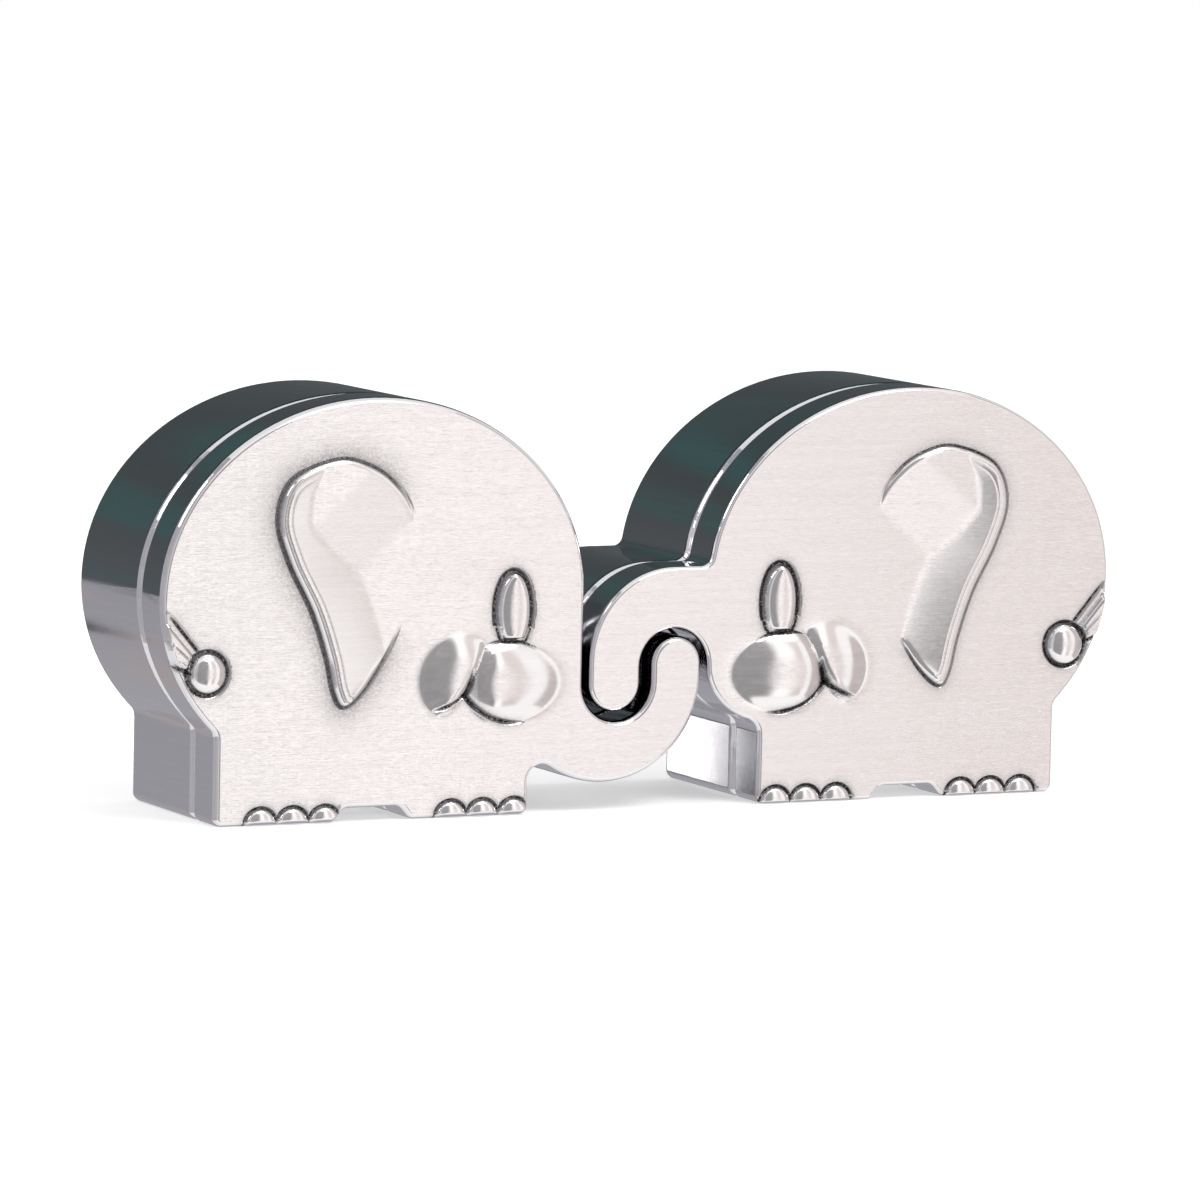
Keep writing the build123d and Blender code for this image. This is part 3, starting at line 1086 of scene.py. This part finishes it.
@dataclass(frozen=True)
class SilverPlate:
    """Cast metal with a warm silver plate: brushed on its flats, polished on its sides, which take a
    darker colour as painted shade.
    """

    name: str
    face_colour: tuple = (0.95, 0.915, 0.912, 1)
    # Painted shade: the sides' colour is darker than the front's.
    painted_shade_side_colour: tuple = (0.73, 0.72, 0.74, 1)
    recess_colour: tuple = (0.014, 0.011, 0.010, 1)
    face_roughness: float = 0.09
    side_roughness: float = 0.06
    grain_depth: float = 0.00006
    grain_strength: float = 0.3
    grain_levels: tuple[float, float] = (0.975, 0.995)
    grain_shares: tuple[float, float] = (0.15, 1.0)
    flat_levels: tuple[float, float] = (0.55, 0.9)
    tone_levels: tuple[float, float] = (0.35, 0.65)
    tones: tuple[float, float] = (0.975, 1.015)
    speck_size: float = 0.22
    speck_levels: tuple[float, float] = (0.3, 0.7)
    speck_shares: tuple[float, float] = (0.6, 1.4)
    full_dark: float = 0.85
    smear_roughness: float = 0.05
    dark_roughness: float = 0.45
    metal_levels: tuple[float, float] = (0.3, 1.0)
    dark_metal: float = 0.4

    def make(self, grain: bpy.types.NodeTree, cloud_group: bpy.types.NodeTree) -> bpy.types.Material:
        """Builds the material.

        Args:
            grain: The brushed_grain group.
            cloud_group: The smears_and_sheen group.

        Returns:
            The material.
        """
        material, tree, shader = new_material(self.name)
        normal = tree.node("SeparateXYZ", Vector=tree.node("TexCoord").outputs["Normal"])
        upright = tree.math("ABSOLUTE", normal.outputs["Y"])
        flat = tree.span(upright, self.flat_levels)
        lines = tree.node("Group", {"node_tree": grain}, Length=9.0, Spacing=0.1)
        smears = tree.node("Group", {"node_tree": cloud_group}, Size=11.0, Grain=0.6)
        tone = tree.span(lines.outputs["Tone"], self.tone_levels, self.tones)
        # Painted shade: by the normal, the sides get the darker colour and the front the bright one.
        face_and_shaded_sides = tree.blend(flat, self.painted_shade_side_colour, self.face_colour)
        toned = tree.node("VectorMath", {"operation": "SCALE"}, Vector=face_and_shaded_sides, Scale=tone)
        dark = tree.node("Attribute", {"attribute_name": "patina_and_halo"}).outputs["Fac"]
        specks = tree.noise(tree.place(), 1 / (self.speck_size * MM), Detail=2.0)
        uneven = tree.math("MULTIPLY", dark, tree.span(specks, self.speck_levels, self.speck_shares))
        # Grooves take the dark colour, and the face round them a little of it.
        dark_share = tree.span(uneven, (0.0, self.full_dark))
        tree.feed(shader.inputs["Base Color"], tree.blend(dark_share, toned.outputs[0], self.recess_colour))
        rough = tree.span(flat, (0.0, 1.0), (self.side_roughness, self.face_roughness))
        rough = tree.math("MULTIPLY_ADD", smears.outputs["Smear"], self.smear_roughness, rough)
        rough = tree.math("MULTIPLY_ADD", dark_share, self.dark_roughness, rough)
        tree.feed(shader.inputs["Roughness"], rough)
        metal = tree.span(dark_share, self.metal_levels, (1.0, self.dark_metal))
        tree.feed(shader.inputs["Metallic"], metal)
        level = tree.span(upright, self.grain_levels, self.grain_shares)
        height = tree.math("MULTIPLY", lines.outputs["Height"], level)
        bump = tree.node("Bump", Strength=self.grain_strength, Distance=self.grain_depth, Height=height)
        tree.feed(shader.inputs["Normal"], bump.outputs[0])
        return material


@dataclass(frozen=True)
class NickelPlate:
    """Bright plated discs with fine scratches."""

    name: str = "nickel_plate"
    colour: tuple = (0.66, 0.64, 0.6, 1)
    worn_colour: tuple = (0.78, 0.77, 0.74, 1)
    roughness: tuple[float, float] = (0.12, 0.3)

    def make(self, cloud_group: bpy.types.NodeTree) -> bpy.types.Material:
        """Builds the material.

        Args:
            cloud_group: The smears_and_sheen group.

        Returns:
            The material.
        """
        material, tree, shader = new_material(self.name)
        smear = tree.node("Group", {"node_tree": cloud_group}, Size=1.6, Grain=0.12).outputs[0]
        tree.feed(shader.inputs["Base Color"], tree.blend(smear, self.colour, self.worn_colour))
        tree.feed(shader.inputs["Roughness"], tree.span(smear, (0.0, 1.0), self.roughness))
        shader.inputs["Metallic"].default_value = 1.0
        return material


@dataclass(frozen=True)
class VelvetLining:
    """Short dark pile on the liner pads, with lighter patches of painted sheen."""

    name: str = "velvet_lining"
    colour: tuple = (0.018, 0.022, 0.035, 1)
    # Painted sheen: the lighter colour of the pile's patches.
    lit_colour: tuple = (0.05, 0.058, 0.085, 1)
    roughness: float = 0.95
    sheen: float = 0.6
    pile_scale: float = 3200.0
    pile_strength: float = 0.6
    pile_depth: float = 0.15

    def make(self, cloud_group: bpy.types.NodeTree) -> bpy.types.Material:
        """Builds the material.

        Args:
            cloud_group: The smears_and_sheen group.

        Returns:
            The material.
        """
        material, tree, shader = new_material(self.name)
        # Painted sheen: cloudy patches where the pile takes the lighter colour.
        painted_sheen_patches = tree.node("Group", {"node_tree": cloud_group}, Size=6.0, Grain=0.25)
        tree.feed(shader.inputs["Base Color"], tree.blend(painted_sheen_patches.outputs[0], self.colour, self.lit_colour))
        shader.inputs["Roughness"].default_value = self.roughness
        shader.inputs["Sheen Weight"].default_value = self.sheen
        pile = tree.noise(tree.place(), self.pile_scale, Detail=2.0)
        bump = tree.node("Bump", Strength=self.pile_strength, Distance=self.pile_depth * MM, Height=pile)
        tree.feed(shader.inputs["Normal"], bump.outputs[0])
        return material


@dataclass(frozen=True)
class Card:
    """A card beside the set that only shows in the metal's reflections."""

    name: str
    centre: tuple[float, float, float]
    width: float
    height: float
    low_colour: tuple
    high_colour: tuple
    streak_colour: tuple
    turn: float = 0.0
    streak_scale: tuple[float, float] = (3.0, 22.0)
    streak_levels: tuple[float, float] = (0.5, 0.7)

    def build(self) -> bpy.types.Object:
        """Makes the card.

        Returns:
            The card's object, which only reflections see.
        """
        mesh = bmesh.new()
        bmesh.ops.create_grid(mesh, x_segments=1, y_segments=1, size=0.5)
        bmesh.ops.scale(mesh, vec=(self.width, self.height, 1), verts=mesh.verts)
        stand = Matrix.Rotation(math.radians(self.turn), 4, "Z") @ Matrix.Rotation(math.pi / 2, 4, "X")
        bmesh.ops.transform(mesh, matrix=Matrix.Translation(self.centre) @ stand, verts=mesh.verts)
        card = new_piece(self.name, mesh)
        card.visible_camera = False
        card.visible_diffuse = False
        card.visible_shadow = False
        card.visible_transmission = False
        card.visible_volume_scatter = False
        card.data.materials.append(self.paint())
        return card

    def paint(self) -> bpy.types.Material:
        """Builds the card's glow: one colour running into another upwards, with soft streaks.

        Returns:
            The material.
        """
        material, tree, shader = new_material(self.name)
        material.node_tree.nodes.remove(shader)
        level = tree.node("SeparateXYZ", Vector=tree.place()).outputs["Z"]
        foot = self.centre[2] - self.height / 2
        up = tree.span(level, (foot, foot + self.height))
        across, along_height = self.streak_scale
        lines = tree.stretch(tree.place(), (across, across, along_height))
        streak = tree.noise(lines, 1.0, Detail=2.0)
        share = tree.span(streak, self.streak_levels)
        plain = tree.blend(up, self.low_colour, self.high_colour)
        glow = tree.node("Emission", Color=tree.blend(share, plain, self.streak_colour), Strength=1.0)
        tree.feed(material.node_tree.nodes["Material Output"].inputs["Surface"], glow.outputs[0])
        return material


def in_front(name: str, x: float, width: float, *colours: tuple) -> Card:
    """A card of the tall row in front of the set."""
    return Card(name, (x, FRONT_ROW_Y, FRONT_ROW_LEVEL), width, FRONT_ROW_HEIGHT, *colours)


@dataclass(frozen=True)
class Lamp:
    """A soft box over the set."""

    name: str
    place: tuple[float, float, float]
    size: float
    power: float

    def build(self) -> bpy.types.Object:
        """Makes the lamp, aimed at the middle of the set.

        Returns:
            The lamp's object.
        """
        data = bpy.data.lights.new(self.name, "AREA")
        data.shape = "SQUARE"
        data.size = self.size
        data.energy = self.power
        lamp = bpy.data.objects.new(self.name, data)
        lamp.location = self.place
        lamp.rotation_euler = (-Vector(self.place)).to_track_quat("-Z", "Y").to_euler()
        bpy.context.scene.collection.objects.link(lamp)
        return lamp


@dataclass(frozen=True)
class Studio:
    """White floor and surround, soft boxes, reflection cards and the camera.

    The camera's aim and distance are in millimetres, as the sizes of the part are.
    """

    floor_colour: tuple = (0.86, 0.86, 0.86, 1)
    floor_half: float = 3.0
    floor_lift: float = 0.3
    ambient: float = 0.8
    aim: tuple[float, float, float] = (-5.99, -11.35, 23.82)
    distance: float = 893.4
    side_turn: float = 25.81
    drop: float = 6.18
    roll: float = 1.19
    lens: float = 240.1
    sensor: float = 36.0
    clip: float = 0.01
    cards: tuple = (
        Card(
            "rear_flag", (0.0, 0.25, 0.2), 0.6, 0.4,
            (0.105, 0.115, 0.122, 1), (0.0, 0.012, 0.012, 1), (0.05, 0.125, 0.12, 1),
        ),
        Card(
            "rear_ledge", (0.0, 0.25, -0.25), 0.6, 0.5,
            (0.56, 0.55, 0.57, 1), (0.38, 0.38, 0.41, 1), (0.50, 0.41, 0.37, 1),
            streak_scale=(14.0, 20.0), streak_levels=(0.6, 0.72),
        ),
        Card(
            "rear_slate", (0.085, 0.245, -0.028), 0.43, 0.056,
            (0.12, 0.12, 0.135, 1), (0.12, 0.125, 0.14, 1), (0.15, 0.155, 0.17, 1),
        ),
        Card(
            "rear_bright", (-0.1035, 0.2445, -0.027), 0.0136, 0.022,
            (2.0, 1.98, 1.98, 1), (2.0, 1.98, 1.98, 1), (2.0, 1.98, 1.98, 1),
        ),
        in_front(
            "front_left", -0.92, 0.565,
            (0.5, 0.49, 0.51, 1), (0.6, 0.58, 0.6, 1), (0.64, 0.62, 0.63, 1),
        ),
        in_front(
            "front_right", 0.3, 0.045,
            (0.58, 0.56, 0.56, 1), (0.66, 0.64, 0.64, 1), (0.66, 0.64, 0.64, 1),
        ),
        in_front(
            "key_card", 0.455, 0.2,
            (1.16, 1.14, 1.14, 1), (1.2, 1.17, 1.17, 1), (1.2, 1.17, 1.17, 1),
        ),
        in_front(
            "front_card", -0.18, 0.915,
            (0.27, 0.27, 0.28, 1), (0.36, 0.36, 0.37, 1), (0.42, 0.41, 0.41, 1),
        ),
        Card(
            "left_card", (-1.2, 0.2, 0.9), 2.4, 3.0,
            (0.52, 0.51, 0.54, 1), (0.36, 0.37, 0.4, 1), (0.6, 0.58, 0.6, 1), turn=90,
        ),
        in_front(
            "pale_card", 0.797, 0.348,
            (0.62, 0.55, 0.53, 1), (0.84, 0.79, 0.77, 1), (0.8, 0.75, 0.73, 1),
        ),
        Card(
            "right_card", (1.2, -0.35, 0.2), 1.1, 2.2,
            (0.52, 0.48, 0.48, 1), (0.6, 0.56, 0.55, 1), (0.66, 0.6, 0.59, 1), turn=90,
        ),
    )
    lamps: tuple = (
        Lamp("high_box", (0.25, -0.55, 0.9), 0.5, 5.0),
        Lamp("left_box", (-0.8, 0.1, 0.7), 0.4, 2.0),
    )

    def build_floor(self) -> bpy.types.Object:
        """Makes the pale floor.

        Returns:
            The floor's object, which reflections don't see.
        """
        mesh = bmesh.new()
        bmesh.ops.create_grid(mesh, x_segments=1, y_segments=1, size=self.floor_half)
        floor = new_piece("floor", mesh)
        floor.visible_glossy = False
        material, tree, shader = new_material("floor_paper")
        shader.inputs["Base Color"].default_value = self.floor_colour
        shader.inputs["Roughness"].default_value = 1.0
        shader.inputs["Specular IOR Level"].default_value = 0.0
        seen = self.seen_directly(tree)
        glow = tree.node("Emission", Strength=tree.math("MULTIPLY", seen, self.floor_lift))
        both = tree.node("AddShader")
        tree.feed(both.inputs[0], shader.outputs[0])
        tree.feed(both.inputs[1], glow.outputs[0])
        tree.feed(material.node_tree.nodes["Material Output"].inputs["Surface"], both.outputs[0])
        floor.data.materials.append(material)
        return floor

    @staticmethod
    def seen_directly(tree: Tree) -> bpy.types.NodeSocket:
        """A share that is 1 for rays from the camera, a reflection or a glass, else 0.

        Args:
            tree: The tree that it is added to.

        Returns:
            The share.
        """
        path = tree.node("LightPath")
        seen = path.outputs["Is Camera Ray"]
        for key in ("Is Glossy Ray", "Is Transmission Ray"):
            seen = tree.math("MAXIMUM", seen, path.outputs[key])
        return seen

    def build_world(self) -> bpy.types.World:
        """Makes the white surround.

        Returns:
            The world.
        """
        world = bpy.data.worlds.new("studio")
        world.use_nodes = True
        bpy.context.scene.world = world
        tree = Tree(world.node_tree)
        backdrop = world.node_tree.nodes["Background"]
        backdrop.inputs["Color"].default_value = WHITE
        level = tree.span(self.seen_directly(tree), (0.0, 1.0), (self.ambient, 1.0))
        tree.feed(backdrop.inputs["Strength"], level)
        return world

    def build_camera(self) -> bpy.types.Object:
        """Makes the camera, where the photograph was taken from.

        Returns:
            The camera's object.
        """
        turn, drop = math.radians(self.side_turn), math.radians(self.drop)
        level_reach = math.cos(drop)
        ahead = Vector((math.sin(turn) * level_reach, math.cos(turn) * level_reach, -math.sin(drop)))
        data = bpy.data.cameras.new("camera")
        data.lens = self.lens
        data.sensor_width = self.sensor
        data.clip_start = self.clip
        camera = bpy.data.objects.new("camera", data)
        level = ahead.to_track_quat("-Z", "Y").to_matrix()
        turned = level @ Matrix.Rotation(math.radians(self.roll), 3, "Z")
        place = (Vector(self.aim) - self.distance * ahead) * MM
        camera.matrix_world = Matrix.Translation(place) @ turned.to_4x4()
        bpy.context.scene.collection.objects.link(camera)
        bpy.context.scene.camera = camera
        return camera

    def build(self) -> None:
        """Makes the whole set."""
        bpy.context.scene.view_settings.view_transform = "Standard"
        self.build_world()
        self.build_floor()
        for item in (*self.cards, *self.lamps):
            item.build()
            log.info("stage: %s", item.name)
        self.build_camera()


@dataclass
class KeepsakePair:
    """Both boxes: their castings' rounded and relief fronts, and finishes for every piece."""

    nodes: dict[str, bpy.types.Object]

    def dress(self, piece: bpy.types.Object, material: bpy.types.Material) -> None:
        """Gives a piece one material on all its faces.

        Args:
            piece: The piece.
            material: Its material.
        """
        piece.data.materials.clear()
        piece.data.materials.append(material)
        log.info("%s wears %s", piece.name, material.name)

    def build(self) -> None:
        """Builds the castings and dresses every piece."""
        grain, cloud_group = brushed_grain(), smears_and_sheen()
        lid_plate = SilverPlate("lid_plate").make(grain, cloud_group)
        case_plate = SilverPlate("case_plate").make(grain, cloud_group)
        nickel = NickelPlate().make(cloud_group)
        velvet = VelvetLining().make(cloud_group)
        for name, facing, face, recess_tone in (
            ("tooth", Facing.RIGHT, TOOTH_FACE, 0.85),
            ("curl", Facing.LEFT, CURL_FACE, 1.0),
        ):
            lid = ReliefLid(
                name=name + "_lid",
                body=name + "_cover",
                slot="lid_metal",
                facing=facing,
                face=face,
                recess_tone=recess_tone,
            ).build()
            base = CaseBase(name=name + "_base", body=name + "_box", slot="case_metal").build()
            self.dress(lid, lid_plate)
            self.dress(base, case_plate)
            self.dress(self.nodes[name + "_liner"], velvet)
            for half in ("base", "lid"):
                self.dress(self.nodes[name + "_" + half + "_magnets"], nickel)


def main() -> None:
    """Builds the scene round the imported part."""
    logging.basicConfig(level=logging.INFO, format="%(name)s: %(message)s")
    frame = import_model()
    KeepsakePair(frame["nodes"]).build()
    Studio().build()


if __name__ == "__main__":
    main()
